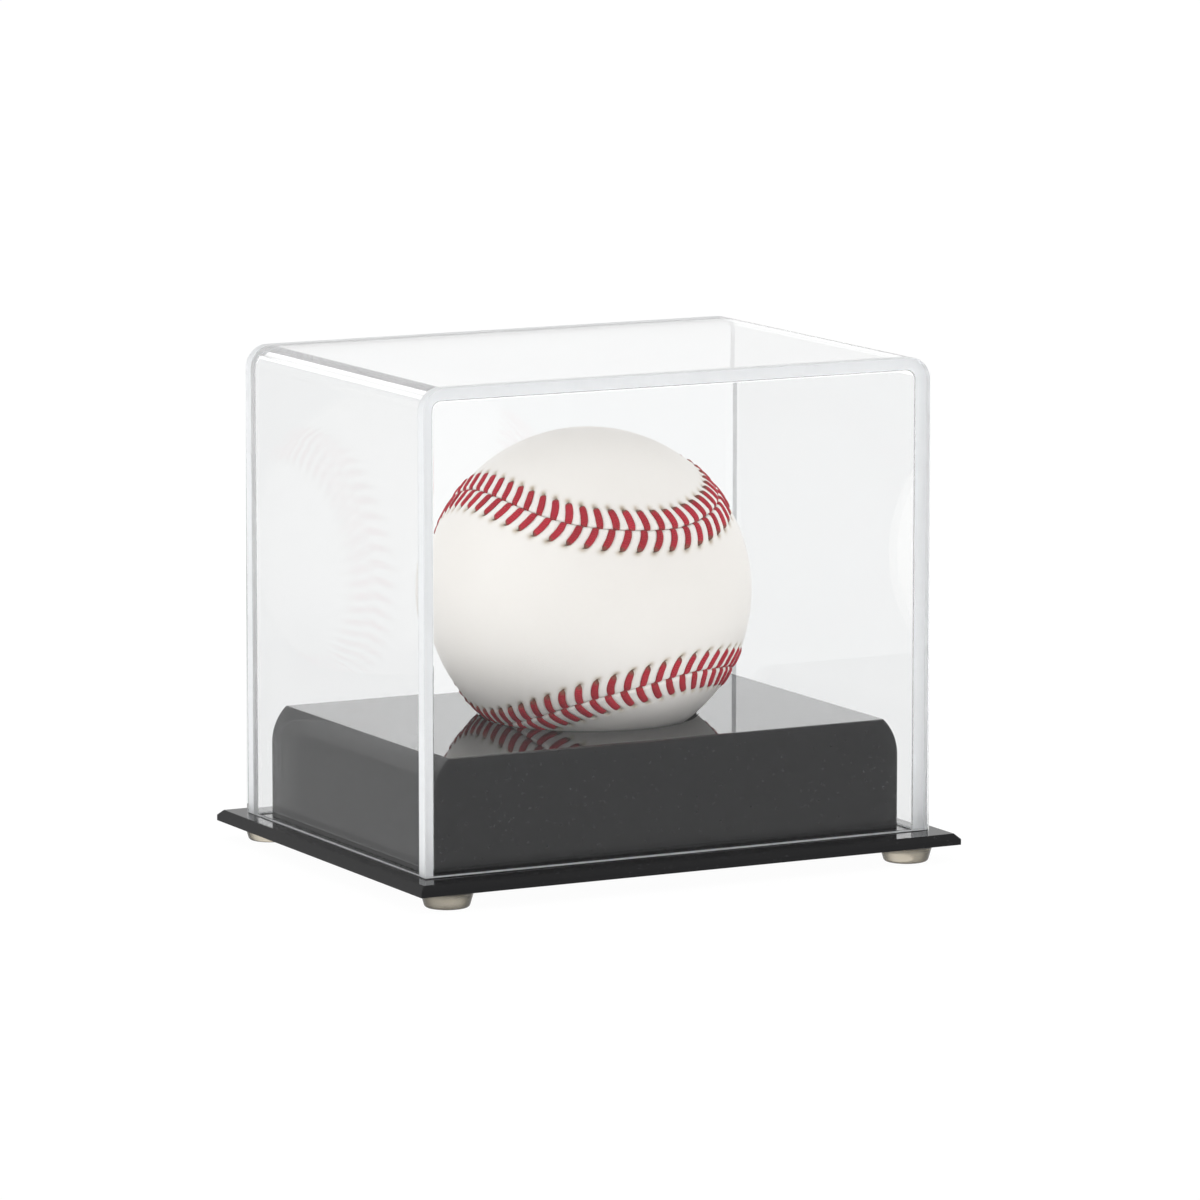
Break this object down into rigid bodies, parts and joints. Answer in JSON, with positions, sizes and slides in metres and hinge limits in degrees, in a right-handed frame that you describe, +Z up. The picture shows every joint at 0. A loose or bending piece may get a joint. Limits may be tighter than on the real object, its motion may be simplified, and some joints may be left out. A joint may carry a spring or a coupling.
{
  "type": "baseball display case",
  "caption": "Clear acrylic display case with a lift-off cover over a ball resting in the round seat of a black riser on a footed base plate.",
  "frame": {"origin": "middle of the footprint, on the surface that the four feet stand on", "axes": "+X along the case's width, to the right seen from the front; +Y to the back; +Z up, the way the cover lifts off"},
  "size_m": [0.136, 0.1056, 0.1145],
  "materials": {
    "black_acrylic": "polished gloss black cast acrylic",
    "clear_acrylic": "polished clear cast acrylic",
    "foot_rubber": "translucent polyurethane, satin",
    "adhesive": "clear pressure-sensitive adhesive",
    "cork": "pressed cork and rubber composition",
    "black_rubber": "matt black rubber",
    "red_rubber": "matt red rubber",
    "grey_wool": "wound wool yarn",
    "white_wool": "wound wool yarn",
    "cotton": "wound cotton and polyester yarn",
    "leather": "smooth tanned white leather, satin",
    "red_thread": "waxed red cotton thread"
  },
  "bodies": {
    "base": {"base_plate": "black_acrylic", "riser_wrap": "black_acrylic", "riser_front_panel": "black_acrylic", "riser_back_panel": "black_acrylic", "foot_front_left": "foot_rubber", "foot_front_right": "foot_rubber", "foot_back_left": "foot_rubber", "foot_back_right": "foot_rubber", "foot_adhesive_discs": "adhesive"},
    "cover": {"cover_wrap": "clear_acrylic", "cover_front_panel": "clear_acrylic", "cover_back_panel": "clear_acrylic"},
    "ball": {"ball_cork_core": "cork", "ball_upper_black_rubber": "black_rubber", "ball_lower_black_rubber": "black_rubber", "ball_rubber_gasket": "red_rubber", "ball_red_rubber": "red_rubber", "ball_thick_grey_winding": "grey_wool", "ball_white_winding": "white_wool", "ball_thin_grey_winding": "grey_wool", "ball_cotton_winding": "cotton", "ball_leather_panel_a": "leather", "ball_leather_panel_b": "leather", "ball_stitching": "red_thread"}
  },
  "joints": [
    {"name": "cover_lift", "type": "slide", "parent": "base", "child": "cover", "axis": [0, 0, 1], "range_m": [0, 0.12]},
    {"name": "ball_lift", "type": "slide", "parent": "base", "child": "ball", "axis": [0, 0, 1], "range_m": [0, 0.012]}
  ]
}
